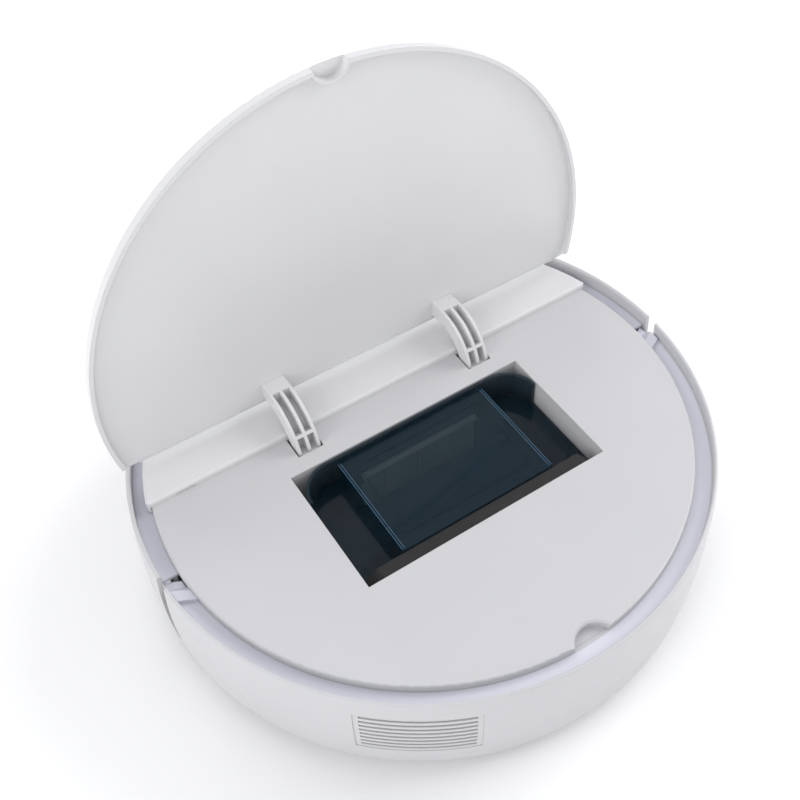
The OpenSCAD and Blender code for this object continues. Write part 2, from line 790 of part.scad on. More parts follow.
module wheel_well(grow, z0, z1) {
    translate([wheel_well_x0 - grow, wheel_well_y0 - grow, z0])
        cube([wheel_well_x1 - wheel_well_x0 + 2 * grow, wheel_well_y1 - wheel_well_y0 + 2 * grow, z1 - z0]);
}

// The floor of the machine, with the mouths of everything that reaches the ground
module base_pan() {
    color("whitesmoke") difference() {
        union() {
            translate([0, 0, pan_z]) cylinder(r = pan_front_r, h = pan_t);
            behind(rear_wall_y) translate([0, 0, pan_z])
                cylinder(r1 = pan_rear_r - 2, r2 = pan_rear_r, h = pan_t);
        }
        both_sides() wheel_well(wheel_wall, pan_z - 1, pan_top + 1);
        translate([-tunnel_hw, -brush_y - mouth_l / 2, pan_z - 1])
            cube([2 * tunnel_hw, mouth_l, pan_t + 2]);
        translate([-caster_flange, caster_y - caster_flange, pan_z - 1])
            cube([2 * caster_flange, 2 * caster_flange, pan_t + 2]);
        both_sides() translate([side_x, side_y, pan_z - 1]) cylinder(r = side_shaft_r + run, h = 30);
        translate([-battery_w / 2 - 1, battery_y - 1, pan_z - 1])
            cube([battery_w + 2, battery_l + 2, pan_t + 2]);
        both_sides() translate([contact_x - contact_w / 2, contact_y - contact_l / 2, pan_z - 1])
            cube([contact_w, contact_l, pan_t + 2]);
        for (p = cliff_places) translate([p[0], p[1], pan_z - 1]) cylinder(r = cliff_r, h = pan_t + 2);
        for (p = screw_places) translate([p[0], p[1], pan_z - 1])
            cylinder(r = screw_r + run, h = pan_t + 2);
    }
}

// Bosses that stand on the pan round its screws, and the bearings of the side brushes
module pan_bosses() {
    bearing_r = side_shaft_r + 3;
    bearing_h = 5.5;
    color("whitesmoke") translate([0, 0, pan_top]) difference() {
        union() {
            both_sides() translate([side_x, side_y, 0]) cylinder(r = bearing_r, h = bearing_h);
            for (p = screw_places) translate([p[0], p[1], 0]) cylinder(r = boss_r, h = boss_z - pan_top);
        }
        both_sides() translate([side_x, side_y, -1]) cylinder(r = side_shaft_r + run, h = bearing_h + 2);
        for (p = screw_places) translate([p[0], p[1], -1]) cylinder(r = screw_r + run, h = 20);
    }
}

// Walls that stand on the pan: behind the bumper, and just inside the rear shell
module pan_wall() {
    rear_h = 12;
    color("whitesmoke") {
        ahead_of(bumper_end - bumper_travel) ring(pan_wall_r - shell_t, pan_wall_r, pan_top,
            channel_z - 2 * seat - shell_t - pan_top);
        behind(rear_wall_y) ring(pan_rear_r - 4, pan_rear_r - 2, pan_top, rear_h);
    }
}

// Box that houses a drive wheel, with the bores for its arm's pivot
module wheel_housing(side) {
    top = deck_under - seat;
    color("whitesmoke") mirror([side < 0 ? 1 : 0, 0, 0]) difference() {
        wheel_well(wheel_wall, pan_z, top);
        wheel_well(0, pan_z - 1, top - wheel_wall);
        axle((wheel_well_x0 + wheel_well_x1) / 2, arm_pivot_y, arm_pivot_z, arm_pin_r,
            wheel_well_x1 - wheel_well_x0 + 8);
    }
}
module wheel_housing_left() { wheel_housing(-1); }
module wheel_housing_right() { wheel_housing(1); }

// Arched tunnel over the main brush, open below and towards the bin
module brush_tunnel() {
    outer_r = tunnel_r + tunnel_t;
    outer_w = 2 * (tunnel_hw + tunnel_t);
    color("whitesmoke") difference() {
        intersection() {
            union() {
                axle(0, -brush_y, brush_z, outer_r, outer_w);
                translate([-outer_w / 2, -brush_y - outer_r, pan_top])
                    cube([outer_w, 2 * outer_r, brush_z - pan_top]);
            }
            translate([-big / 2, -big / 2, pan_top]) cube(big);
        }
        axle(0, -brush_y, brush_z, tunnel_r, 2 * tunnel_hw);
        translate([-tunnel_hw, -brush_y - tunnel_r, pan_top - 1])
            cube([2 * tunnel_hw, 2 * tunnel_r, brush_z - pan_top + 1]);
        axle(0, -brush_y, brush_z, journal_r + run, outer_w + 2);
        translate([inlet_x - inlet_hw, -brush_y, inlet_z0])
            cube([2 * inlet_hw, 2 * outer_r, inlet_z1 - inlet_z0]);
    }
}

// Pocket that the caster turns in, with the bearing for its pin
module caster_mount() {
    pocket_h = 20;
    bearing_h = 14;
    color("whitesmoke") translate([0, caster_y, 0]) difference() {
        union() {
            translate([-caster_flange, -caster_flange, pan_z])
                cube([2 * caster_flange, 2 * caster_flange, pan_t]);
            translate([0, 0, pan_z])
                cylinder(r = caster_pocket_r + caster_wall, h = pocket_h + 2);
            translate([0, 0, pan_z + pocket_h]) cylinder(r = caster_pin_r + 3, h = bearing_h);
        }
        translate([0, 0, pan_z - 1]) cylinder(r = caster_pocket_r, h = pocket_h + 1);
        translate([0, 0, pan_top]) cylinder(r = caster_pin_r + run, h = pan_z + pocket_h + 2);
    }
}

module base_screws() {
    color("gray") for (p = screw_places) translate([p[0], p[1], 0]) difference() {
        union() {
            translate([0, 0, pan_z - 1.4]) cylinder(r = 3, h = 1.4);
            translate([0, 0, pan_z - 0.1]) cylinder(r = screw_r, h = boss_z - pan_z + screw_reach);
        }
        translate([-2, -0.4, pan_z - 2]) cube([4, 0.8, 1.2]);
        translate([-0.4, -2, pan_z - 2]) cube([0.8, 4, 1.2]);
    }
}

module charge_contacts() {
    color("silver") both_sides() translate([contact_x, contact_y, 0]) {
        translate([seat - contact_w / 2, seat - contact_l / 2, pan_z - 0.3])
            cube([contact_w - 2 * seat, contact_l - 2 * seat, 0.8]);
        translate([-5, -3, pan_z + 0.4]) cube([10, 6, 4]);
    }
}

module cliff_sensor(p) {
    color("black") translate([p[0], p[1], 0]) difference() {
        translate([0, 0, pan_z + 0.4]) cylinder(r = cliff_r - seat, h = 8);
        for (x = [-2, 2]) translate([x, 0, pan_z]) cylinder(r = 1.4, h = 3);
    }
}
module cliff_sensor_left() { cliff_sensor(cliff_places[0]); }
module cliff_sensor_mid() { cliff_sensor(cliff_places[1]); }
module cliff_sensor_right() { cliff_sensor(cliff_places[2]); }

module battery() {
    color("royalblue") translate([-battery_w / 2 + 0.5, battery_y, pan_top + 1 + seat]) {
        cube([battery_w - 1, battery_l, battery_h]);
        translate([battery_w / 2 - 8, battery_l, 6]) cube([16, 3, 8]);
    }
}

module battery_cover() {
    rib = 1;
    color("lightgray") {
        translate([-battery_w / 2 - 0.6, battery_y - 0.6, pan_z])
            cube([battery_w + 1.2, battery_l + 1.2, pan_t + 1]);
        for (x = [-50 : 25 : 50]) translate([x - rib / 2, battery_y + 6, pan_z - 0.6])
            cube([rib, battery_l - 12, 1]);
    }
}

// ---------------------------------------------------------------- fan and exhaust

module blower_housing() {
    t = 1.8;
    color("dimgray") translate([blower_x, blower_y0, blower_z]) rotate([-90, 0, 0]) difference() {
        union() {
            cylinder(r = blower_r, h = blower_l);
            translate([0, -blower_r, 0]) cube([blower_r + 4, blower_r + 8, blower_l]);
        }
        translate([0, 0, t]) cylinder(r = blower_r - t, h = blower_l - 2 * t);
        translate([0, -blower_r + t, t]) cube([blower_r + 5, blower_r + 8 - 2 * t, blower_l - 2 * t]);
        translate([0, 0, -1]) cylinder(r = blower_r / 2, h = t + 2);
        translate([0, 0, blower_l - t - 1]) cylinder(r = 3.2, h = t + 2);
    }
}

module blower_motor() {
    motor_r = 15;
    motor_l = 30;
    color("silver") translate([blower_x, blower_y0 + blower_l, blower_z]) rotate([-90, 0, 0]) {
        translate([0, 0, 0.3]) cylinder(r = motor_r, h = motor_l);
        translate([0, 0, motor_l]) cylinder(r = 5, h = 3);
        translate([0, 0, -12]) cylinder(r = 1.5, h = 13);
    }
}

module impeller() {
    tip_r = blower_r - 4;
    hub = 6;
    blades = 9;
    blade_t = 1;
    curve_r = tip_r / 2 + 0.2;
    l = blower_l - 9;
    blade_l = l * 2 / 3;
    color("lightgray") translate([blower_x, blower_y0 + 4, blower_z]) rotate([-90, 0, 0]) difference() {
        union() {
            translate([0, 0, l]) cylinder(r = tip_r, h = 1.4);
            cylinder(r = hub, h = l + 0.1);
            intersection() {
                translate([0, 0, l - blade_l]) cylinder(r = tip_r - 0.8, h = blade_l + 0.1);
                for (i = [0 : blades - 1]) rotate([0, 0, i * 360 / blades])
                    translate([0, -curve_r - 0.8, 0]) linear_extrude(l + 1) difference() {
                        circle(curve_r);
                        circle(curve_r - blade_t);
                        translate([-tip_r, -tip_r]) square([tip_r, 2 * tip_r]);
                    }
            }
        }
        translate([0, 0, -1]) cylinder(r = 1.5 + run, h = l + 4);
    }
}

// Duct from the fan's side mouth to the louvres in the rear wall
module exhaust_duct() {
    t = 1.6;
    z0 = deck_z - louvre_top - louvre_n * louvre_pitch - 1;
    z1 = deck_z - louvre_top + 2;
    near = blower_x + blower_r + 4.3;
    y0 = blower_y0;
    y1 = blower_y0 + blower_l;
    far = rim_r * 1.1;
    a0 = louvre_mid - louvre_span / 2 - 1;
    a1 = louvre_mid + louvre_span / 2 + 1;
    color("gray") difference() {
        intersection() {
            translate([0, 0, z0]) linear_extrude(z1 - z0) polygon([[near, y0],
                [far * cos(a0), far * sin(a0)], [far * cos(a1), far * sin(a1)], [near, y1]]);
            rotate_extrude() union() {
                wall_layer(shell_t + seat, shell_t + 12, z0, z1);
                translate([0, z0]) square([rim_r - 10, z1 - z0]);
            }
        }
        translate([0, 0, z0 + t]) linear_extrude(z1 - z0 - 2 * t) polygon([[near - 1, y0 + t],
            [near + t, y0 + t], [far * cos(a0 + 1), far * sin(a0 + 1)],
            [far * cos(a1 - 1), far * sin(a1 - 1)], [near + t, y1 - t], [near - 1, y1 - t]]);
    }
}

// ---------------------------------------------------------------- main brush

module brush_core() {
    color("dimgray") {
        axle(0, -brush_y, brush_z, 6, brush_l);
        axle(0, -brush_y, brush_z, journal_r, 2 * tunnel_hw + 2 * tunnel_t - 0.4);
    }
}

// Four blades in a shallow chevron, each half twisted towards the middle
module brush_blades() {
    blade_t = 1.8;
    twist = 50;
    half = brush_l / 2 - 1;
    color("darkslategray") difference() {
        translate([0, -brush_y, brush_z]) rotate([0, 90, 0]) for (side = [0, 1]) mirror([0, 0, side])
            linear_extrude(half, twist = twist, slices = 8, segments = 1) for (a = [0 : 90 : 270])
                rotate(a) translate([5, -blade_t / 2]) square([brush_r - 5, blade_t]);
        axle(0, -brush_y, brush_z, 6.05, brush_l + 2);
    }
}

// Frame that holds the brush in its tunnel, seated on the underside of the pan
module brush_guard() {
    frame_t = 1.6;
    rail_in = sqrt(pow(brush_r + 0.5, 2) - pow(brush_z - pan_z, 2));
    rail_out = mouth_l / 2 + 3;
    end_x = tunnel_hw + 7;
    color("gray") translate([0, -brush_y, pan_z - frame_t]) difference() {
        translate([-end_x, -rail_out, 0]) cube([2 * end_x, 2 * rail_out, frame_t]);
        translate([-tunnel_hw - seat, -rail_in, -1])
            cube([2 * (tunnel_hw + seat), 2 * rail_in, frame_t + 2]);
        both_sides() translate([end_x - 3, 0, -1]) cylinder(r = 4, h = 1 + frame_t / 2);
    }
}

module brush_gear_case() {
    w = brush_gear_w;
    lift = 12;      // height of the motor's axis above the brush's
    stub = 6;
    color("dimgray") translate([-tunnel_hw - tunnel_t - w - seat, -brush_y, brush_z]) difference() {
        union() {
            rotate([0, 90, 0]) cylinder(r = brush_gear_r, h = w);
            translate([0, -brush_motor_y, lift]) rotate([0, 90, 0]) cylinder(r = brush_motor_r, h = w);
            translate([0, -brush_motor_y, 0]) cube([w, brush_motor_y, brush_gear_r - 0.5]);
            translate([w - 0.6, -brush_motor_y, lift]) rotate([0, 90, 0])
                cylinder(r = brush_motor_r - 3, h = stub);
        }
        translate([-1, -brush_motor_y - 2 * brush_motor_r, -brush_z - 1])
            cube([w + stub + 2, 4 * brush_motor_y, pan_top + 1]);
    }
}

// ---------------------------------------------------------------- drive wheels

// Gear case that swings on its pivot and carries the wheel
module wheel_arm(side) {
    r_axle = 17;
    r_pivot = 8.5;
    dy = arm_pivot_y - wheel_y;
    dz = arm_pivot_z - wheel_r;
    d = sqrt(dy * dy + dz * dz);
    lean = atan2(dz, dy);
    fall = asin((r_axle - r_pivot) / d);
    color("dimgray") mirror([side < 0 ? 1 : 0, 0, 0]) difference() {
        union() {
            axle(gear_case_x + gear_case_w / 2, wheel_y, wheel_r, r_axle, gear_case_w);
            axle(gear_case_x + gear_case_w / 2, arm_pivot_y, arm_pivot_z, r_pivot, gear_case_w);
            across(gear_case_x + gear_case_w / 2, gear_case_w) translate([wheel_y, wheel_r]) rotate(lean)
                polygon([[r_axle * sin(fall), r_axle * cos(fall)],
                    [d + r_pivot * sin(fall), r_pivot * cos(fall)],
                    [d + r_pivot * sin(fall), -r_pivot * cos(fall)],
                    [r_axle * sin(fall), -r_axle * cos(fall)]]);
            axle(gear_case_x + gear_case_w / 2, wheel_y, wheel_r, 12, gear_case_w + 2);
            axle(wheel_x - 2, wheel_y, wheel_r, axle_r, wheel_w - 0.4);
            axle((wheel_well_x0 + wheel_well_x1) / 2, arm_pivot_y, arm_pivot_z, arm_pin_r - run,
                wheel_well_x1 - wheel_well_x0 + 2);
        }
        for (a = [0 : 60 : 300]) translate([gear_case_x - 1, wheel_y + 13 * cos(a), wheel_r + 13 * sin(a)])
            rotate([0, 90, 0]) cylinder(r = 1.2, h = 3);
    }
}
module wheel_arm_left() { wheel_arm(-1); }
module wheel_arm_right() { wheel_arm(1); }

module wheel_hub(side) {
    rim = wheel_r - 5;
    spokes = 6;
    color("gainsboro") mirror([side < 0 ? 1 : 0, 0, 0]) translate([wheel_x - wheel_w / 2, wheel_y, wheel_r])
        rotate([0, 90, 0]) difference() {
            union() {
                difference() {
                    cylinder(r = rim, h = wheel_w);
                    translate([0, 0, 3]) cylinder(r = rim - 3, h = wheel_w);
                }
                cylinder(r = axle_r + 3, h = wheel_w - 1);
                for (i = [0 : spokes - 1]) rotate([0, 0, i * 360 / spokes])
                    translate([axle_r + 1, -1.2, 1]) cube([rim - axle_r - 3, 2.4, wheel_w - 4]);
            }
            translate([0, 0, -1]) cylinder(r = axle_r + run, h = wheel_w + 2);
        }
}
module wheel_hub_left() { wheel_hub(-1); }
module wheel_hub_right() { wheel_hub(1); }

module tyre(side) {
    treads = 24;
    color([0.12, 0.12, 0.12]) mirror([side < 0 ? 1 : 0, 0, 0])
        translate([wheel_x - wheel_w / 2, wheel_y, wheel_r]) rotate([0, 90, 0]) difference() {
            cylinder(r = wheel_r, h = wheel_w);
            translate([0, 0, -1]) cylinder(r = wheel_r - 5, h = wheel_w + 2);
            for (i = [0 : treads - 1]) rotate([0, 0, (i + 0.5) * 360 / treads])
                translate([wheel_r - 1.6, -1.4, -1]) cube([4, 2.8, wheel_w + 2]);
        }
}
module tyre_left() { tyre(-1); }
module tyre_right() { tyre(1); }

// ---------------------------------------------------------------- caster and side brushes

module caster_fork() {
    cheek_t = 2;
    cheek_x = caster_w / 2 + 0.4 + cheek_t / 2;
    crown_z = caster_d + 1.2;
    color("dimgray") translate([0, caster_y, 0]) {
        difference() {
            union() {
                translate([0, 0, crown_z]) cylinder(r = 10, h = 2.4);
                for (side = [-1, 1]) {
                    axle(side * cheek_x, caster_trail, caster_r, 5, cheek_t);
                    across(side * cheek_x, cheek_t) polygon([[caster_trail - 5, caster_r],
                        [caster_trail + 5, caster_r], [6.5, crown_z + 1], [-6.5, crown_z + 1]]);
                }
            }
            axle(0, caster_trail, caster_r, 1.5, 4 * cheek_x);
        }
        translate([0, 0, crown_z + 1]) cylinder(r = caster_pin_r, h = pan_z + 31 - crown_z - 1);
    }
}

module caster_wheel() {
    color("black") translate([-caster_w / 2, caster_y + caster_trail, caster_r]) rotate([0, 90, 0]) {
        rotate_extrude() difference() {
            square([caster_r, caster_w]);
            translate([caster_r, caster_w / 2]) circle(1.4, $fn = 32);
        }
        translate([0, 0, -2.3]) cylinder(r = 1.5 - run, h = caster_w + 4.6);
    }
}

module side_hub(x) {
    color("gainsboro") translate([x, side_y, 0]) {
        translate([0, 0, pan_z - 4.3]) cylinder(r1 = side_hub_r - 2, r2 = side_hub_r, h = 4);
        translate([0, 0, pan_z - 0.4]) cylinder(r = side_shaft_r, h = 12);
    }
}
module side_hub_left() { side_hub(-side_x); }
module side_hub_right() { side_hub(side_x); }

// Three tapered tufts that slope down to the floor, one of them pointing inwards
module side_bristles(x) {
    root = side_hub_r - 3;
    slope = 6;
    inward = atan2(-side_y, -x);
    color("black") translate([x, side_y, pan_z - 2.6]) difference() {
        for (a = [0, 120, 240]) rotate([0, 0, inward + a]) rotate([0, 90 + slope, 0])
            translate([0, 0, root]) cylinder(r1 = 1.1, r2 = 2.6, h = side_brush_l - root, $fn = 24);
        translate([0, 0, -1.7]) cylinder(r1 = side_hub_r - 1.95, r2 = side_hub_r + 0.05, h = 4);
    }
}
module side_bristles_left() { side_bristles(-side_x); }
module side_bristles_right() { side_bristles(side_x); }

module side_motor(x) {
    color("silver") translate([x, side_y, pan_z]) difference() {
        union() {
            translate([0, 0, 8.3]) cylinder(r = 12, h = 12);
            translate([0, 0, 20]) cylinder(r = 8, h = 14);
        }
        translate([0, 0, 8]) cylinder(r = side_shaft_r + run, h = 4);
    }
}
module side_motor_left() { side_motor(-side_x); }
module side_motor_right() { side_motor(side_x); }

upper_housing();
deck();
bin_well();
screw_posts();
front_panel();
base_pan();
pan_bosses();
pan_wall();
wheel_housing_left();
wheel_housing_right();
brush_tunnel();
caster_mount();
hinge_bracket_left();
hinge_bracket_right();
hinge_pins();
lid_cover();
hinge_arm_left();
hinge_arm_right();
bumper_shell();
bumper_ledge();
bumper_window();
bin_body();
bin_window();
bin_frame();
bin_filter();
bin_flap();
start_button();
main_board();
blower_housing();
blower_motor();
impeller();
exhaust_duct();
battery();
battery_cover();
brush_core();
brush_blades();
brush_guard();
brush_gear_case();
wheel_arm_left();
wheel_arm_right();
wheel_hub_left();
wheel_hub_right();
tyre_left();
tyre_right();
caster_fork();
caster_wheel();
side_hub_left();
side_hub_right();
side_bristles_left();
side_bristles_right();
side_motor_left();
side_motor_right();
charge_contacts();
cliff_sensor_left();
cliff_sensor_mid();
cliff_sensor_right();
base_screws();
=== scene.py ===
import math

import bpy
from bpy.props import FloatProperty, FloatVectorProperty, IntProperty, PointerProperty
from mathutils import Matrix, Vector


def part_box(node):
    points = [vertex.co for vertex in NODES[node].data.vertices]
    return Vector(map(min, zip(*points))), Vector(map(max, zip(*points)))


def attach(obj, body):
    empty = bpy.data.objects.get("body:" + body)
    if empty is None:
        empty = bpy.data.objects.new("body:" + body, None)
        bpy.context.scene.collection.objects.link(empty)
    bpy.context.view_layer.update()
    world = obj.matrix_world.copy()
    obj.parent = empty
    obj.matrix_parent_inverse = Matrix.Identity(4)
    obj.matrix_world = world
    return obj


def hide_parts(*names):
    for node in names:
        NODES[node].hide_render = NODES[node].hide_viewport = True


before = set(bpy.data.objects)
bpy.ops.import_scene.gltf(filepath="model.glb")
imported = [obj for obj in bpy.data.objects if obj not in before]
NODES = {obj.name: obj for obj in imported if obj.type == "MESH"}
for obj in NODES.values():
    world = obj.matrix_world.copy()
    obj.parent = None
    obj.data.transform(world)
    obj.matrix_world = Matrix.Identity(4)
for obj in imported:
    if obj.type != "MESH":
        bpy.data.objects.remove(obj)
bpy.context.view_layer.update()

bl_info = {
    "name": "Robot floor vacuum finishes",
    "version": (1, 0, 0),
    "blender": (4, 5, 0),
    "location": "View3D > Sidebar > Vacuum",
    "description": "Finishes, brushes and studio for a round robot floor vacuum",
    "category": "Object",
}

GOLDEN_ANGLE = math.radians(137.5)

# Edges of the painted light and bluish painted shade in the rim's channel: from the rim's outer edge
# inwards, and from the deck's top upwards
CHANNEL_INNER_EDGE = (0.0125, 0.0115)
CHANNEL_OUTER_EDGE = (0.0030, 0.0034)
CHANNEL_TOP_EDGE = (0.0002, -0.0012)
# How much denser the bin's wall looks than its window
WALL_DENSITY = 1.15
SOLID_EDGE = 0.0005
# A filament's shape: place along its length, thickness there and lift there
FILAMENT_SHAPE = ((0.45, 1.0, 0.0003), (0.8, 0.9, 0.0002), (1.0, 0.45, -0.0003))
TUFTS = 3
# The lamps: name, place, size and the setting that holds the power
SOFTBOXES = (("overhead softbox", (0, -3.25, 3.5), (4, 3.5), "far_power"),
             ("right softbox", (-4, 0.25, 2.25), (3.5, 3), "right_power"),
             ("left softbox", (4, 0.25, 2.25), (3.5, 3), "left_power"),
             ("near softbox", (2.25, 3.75, 2.25), (3, 2.5), "near_power"))
LAMP_TARGET = (0, 0, 0.05)


# ------------------------------------------------------------------ sizes and colours

class VacuumFinish(bpy.types.PropertyGroup):
    shell_colour: FloatVectorProperty(
        name="Shell colour", description="White of the housing, deck and bumper",
        subtype="COLOR", size=3, min=0, max=1, default=(0.545, 0.545, 0.555))
    # Painted light: the lid, arms and panel take the shell's white made lighter, standing in for light their
    # faces lack
    lid_painted_light_colour: FloatVectorProperty(
        name="Lid colour", description="White of the lid, its arms and the front panel",
        subtype="COLOR", size=3, min=0, max=1, default=(0.69, 0.69, 0.695))
    # Painted light and shade: lighter and bluer than the shell white, standing in for the cool soft light
    # inside the channel round the deck
    channel_painted_light_colour: FloatVectorProperty(
        name="Channel colour", description="Cooler white inside the channel round the deck",
        subtype="COLOR", size=3, min=0, max=1, default=(0.70, 0.705, 0.78))
    shell_roughness: FloatProperty(
        name="Shell roughness", description="How matt the white mouldings are",
        min=0, max=1, default=0.36)
    edge_radius: FloatProperty(
        name="Edge radius", description="Softness of the mouldings' edges",
        subtype="DISTANCE", unit="LENGTH", min=0, default=0.0005)
    smoke_colour: FloatVectorProperty(
        name="Smoke colour", description="Blue-black of the clear bin",
        subtype="COLOR", size=3, min=0, max=1, default=(0.004, 0.02, 0.033))
    smoke_density: FloatProperty(
        name="Smoke density", description="How much of the view the clear bin holds back at each face",
        subtype="FACTOR", min=0, max=1, default=0.5)
    bin_floor: FloatProperty(
        name="Bin floor", description="Height up to which the bin is dark and opaque",
        subtype="DISTANCE", unit="LENGTH", min=0, default=0.0025)
    edge_line: FloatProperty(
        name="Edge line", description="Width of the pale lines beside the bin's window",
        subtype="DISTANCE", unit="LENGTH", min=0, default=0.0004)
    edge_margin: FloatProperty(
        name="Edge margin", description="How far the pale lines stop short of the window's ends",
        subtype="DISTANCE", unit="LENGTH", min=0, default=0.0012)
    line_gap: FloatProperty(
        name="Line gap", description="Distance of the inner pale line from the window's side",
        subtype="DISTANCE", unit="LENGTH", min=0, default=0.0011)
    # Painted highlight: the pale blue stands in for light caught by the edges beside the window
    highlight_line_colour: FloatVectorProperty(
        name="Line colour", description="Pale blue of the lit edges of the clear window",
        subtype="COLOR", size=3, min=0, max=1, default=(0.045, 0.11, 0.18))
    frame_colour: FloatVectorProperty(
        name="Bin frame colour", description="Dark brown-grey of the bin's rear frame",
        subtype="COLOR", size=3, min=0, max=1, default=(0.013, 0.012, 0.0125))
    rubber_colour: FloatVectorProperty(
        name="Rubber colour", description="Tyres and brush blades",
        subtype="COLOR", size=3, min=0, max=1, default=(0.018, 0.018, 0.019))


class VacuumBrushes(bpy.types.PropertyGroup):
    bristles_per_tuft: IntProperty(
        name="Bristles in a tuft", description="Nylon filaments in each side brush tuft",
        min=3, default=26)
    filament_diameter: FloatProperty(
        name="Filament diameter", description="Thickness of one nylon filament",
        subtype="DISTANCE", unit="LENGTH", min=0, default=0.0006)
    tuft_root: FloatProperty(
        name="Tuft root", description="Distance of a tuft's root from the hub's axis",
        subtype="DISTANCE", unit="LENGTH", min=0, default=0.007)
    tuft_reach: FloatProperty(
        name="Tuft reach", description="Distance of a tuft's tip from the hub's axis",
        subtype="DISTANCE", unit="LENGTH", min=0, default=0.0438)
    tuft_root_radius: FloatProperty(
        name="Root radius", description="Radius of the bundle where the hub holds it",
        subtype="DISTANCE", unit="LENGTH", min=0, default=0.0008)
    tuft_tip_radius: FloatProperty(
        name="Tip radius", description="Radius of the spread bundle at its tip",
        subtype="DISTANCE", unit="LENGTH", min=0, default=0.0021)
    tuft_slope: FloatProperty(
        name="Tuft slope", description="How far a tuft points down towards the floor",
        subtype="ANGLE", default=math.radians(6))
    tuft_lift: FloatProperty(
        name="Root depth", description="Depth of the tufts' roots below the top of their space",
        subtype="DISTANCE", unit="LENGTH", min=0, default=0.0004)


class VacuumStudio(bpy.types.PropertyGroup):
    camera_place: FloatVectorProperty(
        name="Camera place", description="Where the camera stands", subtype="XYZ", size=3,
        unit="LENGTH", default=(0.2000, 0.3193, 0.5547))
    camera_azimuth: FloatProperty(
        name="Camera azimuth", description="Direction the camera looks along, 0 being +Y",
        subtype="ANGLE", default=math.radians(147.94))
    camera_elevation: FloatProperty(
        name="Camera elevation", description="How far the camera looks down",
        subtype="ANGLE", default=math.radians(48.94))
    camera_roll: FloatProperty(
        name="Camera roll", description="Turn of the camera about its line of sight",
        subtype="ANGLE", default=math.radians(-1.78))
    lens: FloatProperty(
        name="Lens", description="Focal length on a 36 mm sensor", min=1, default=48.366)
    shift: FloatVectorProperty(
        name="Lens shift", description="Offset of the picture's middle from the lens axis",
        size=2, default=(-0.0236, -0.0295))
    sky_strength: FloatProperty(
        name="Sky strength", description="Brightness of the cool surroundings", min=0, default=0.62)
    far_power: FloatProperty(
        name="Overhead power", description="Power of the large softbox over the nose", unit="POWER",
        min=0, default=60)
    right_power: FloatProperty(
        name="Right power", description="Power of the softbox on the right", unit="POWER",
        min=0, default=150)
    left_power: FloatProperty(
        name="Left power", description="Power of the softbox on the left", unit="POWER",
        min=0, default=85)
    near_power: FloatProperty(
        name="Near power", description="Power of the softbox behind the camera", unit="POWER",
        min=0, default=40)


# ------------------------------------------------------------------ materials

def new_material(name):
    m = bpy.data.materials.new(name)
    m.use_nodes = True
    tree = m.node_tree
    tree.nodes.clear()
    out = tree.nodes.new("ShaderNodeOutputMaterial")
    shader = tree.nodes.new("ShaderNodeBsdfPrincipled")
    tree.links.new(shader.outputs["BSDF"], out.inputs["Surface"])
    return m, tree, shader


def node(tree, kind, **values):
    n = tree.nodes.new(kind)
    for k, v in values.items():
        if k in n.inputs:
            n.inputs[k].default_value = v
        else:
            setattr(n, k, v)
    return n


def scale_of(tree, coords, scale, detail=2.0, roughness=0.5):
    """A noise on the object's own coordinates, scale in features per metre."""
    n = node(tree, "ShaderNodeTexNoise", Scale=scale, Detail=detail, Roughness=roughness)
    tree.links.new(coords.outputs["Object"], n.inputs["Vector"])
    return n


def ramp(tree, source, low, high, a=0.3, b=0.7):
    r = tree.nodes.new("ShaderNodeValToRGB")
    r.color_ramp.elements[0].position, r.color_ramp.elements[1].position = a, b
    r.color_ramp.elements[0].color = (*low, 1)
    r.color_ramp.elements[1].color = (*high, 1)
    tree.links.new(source, r.inputs["Fac"])
    return r


def spread(tree, source, low, high):
    r = node(tree, "ShaderNodeMapRange", **{"From Min": 0.3, "From Max": 0.7, "To Min": low, "To Max": high})
    tree.links.new(source, r.inputs["Value"])
    return r


def moulded(name, colour, roughness, grain=2600, grain_height=0.000006, patch=18, shade=0.03,
            edge=0.0004, specular=0.5):
    """Moulded plastic: faint flow variation, a fine spark-eroded grain and softened edges."""
    m, tree, shader = new_material(name)
    coords = tree.nodes.new("ShaderNodeTexCoord")
    flow = scale_of(tree, coords, patch, 3)
    tint = ramp(tree, flow.outputs["Fac"], [c * (1 - shade) for c in colour],
                [min(1, c * (1 + shade)) for c in colour])
    tree.links.new(tint.outputs["Color"], shader.inputs["Base Color"])
    wear = scale_of(tree, coords, patch * 6, 4)
    rough = spread(tree, wear.outputs["Fac"], roughness * 0.88, roughness * 1.12)
    tree.links.new(rough.outputs["Result"], shader.inputs["Roughness"])
    fine = scale_of(tree, coords, grain, 2)
    soft = node(tree, "ShaderNodeBevel", samples=4, Radius=edge)
    bump = node(tree, "ShaderNodeBump", Strength=0.35, Distance=grain_height)
    tree.links.new(fine.outputs["Fac"], bump.inputs["Height"])
    tree.links.new(soft.outputs["Normal"], bump.inputs["Normal"])
    tree.links.new(bump.outputs["Normal"], shader.inputs["Normal"])
    shader.inputs["Specular IOR Level"].default_value = specular
    return m


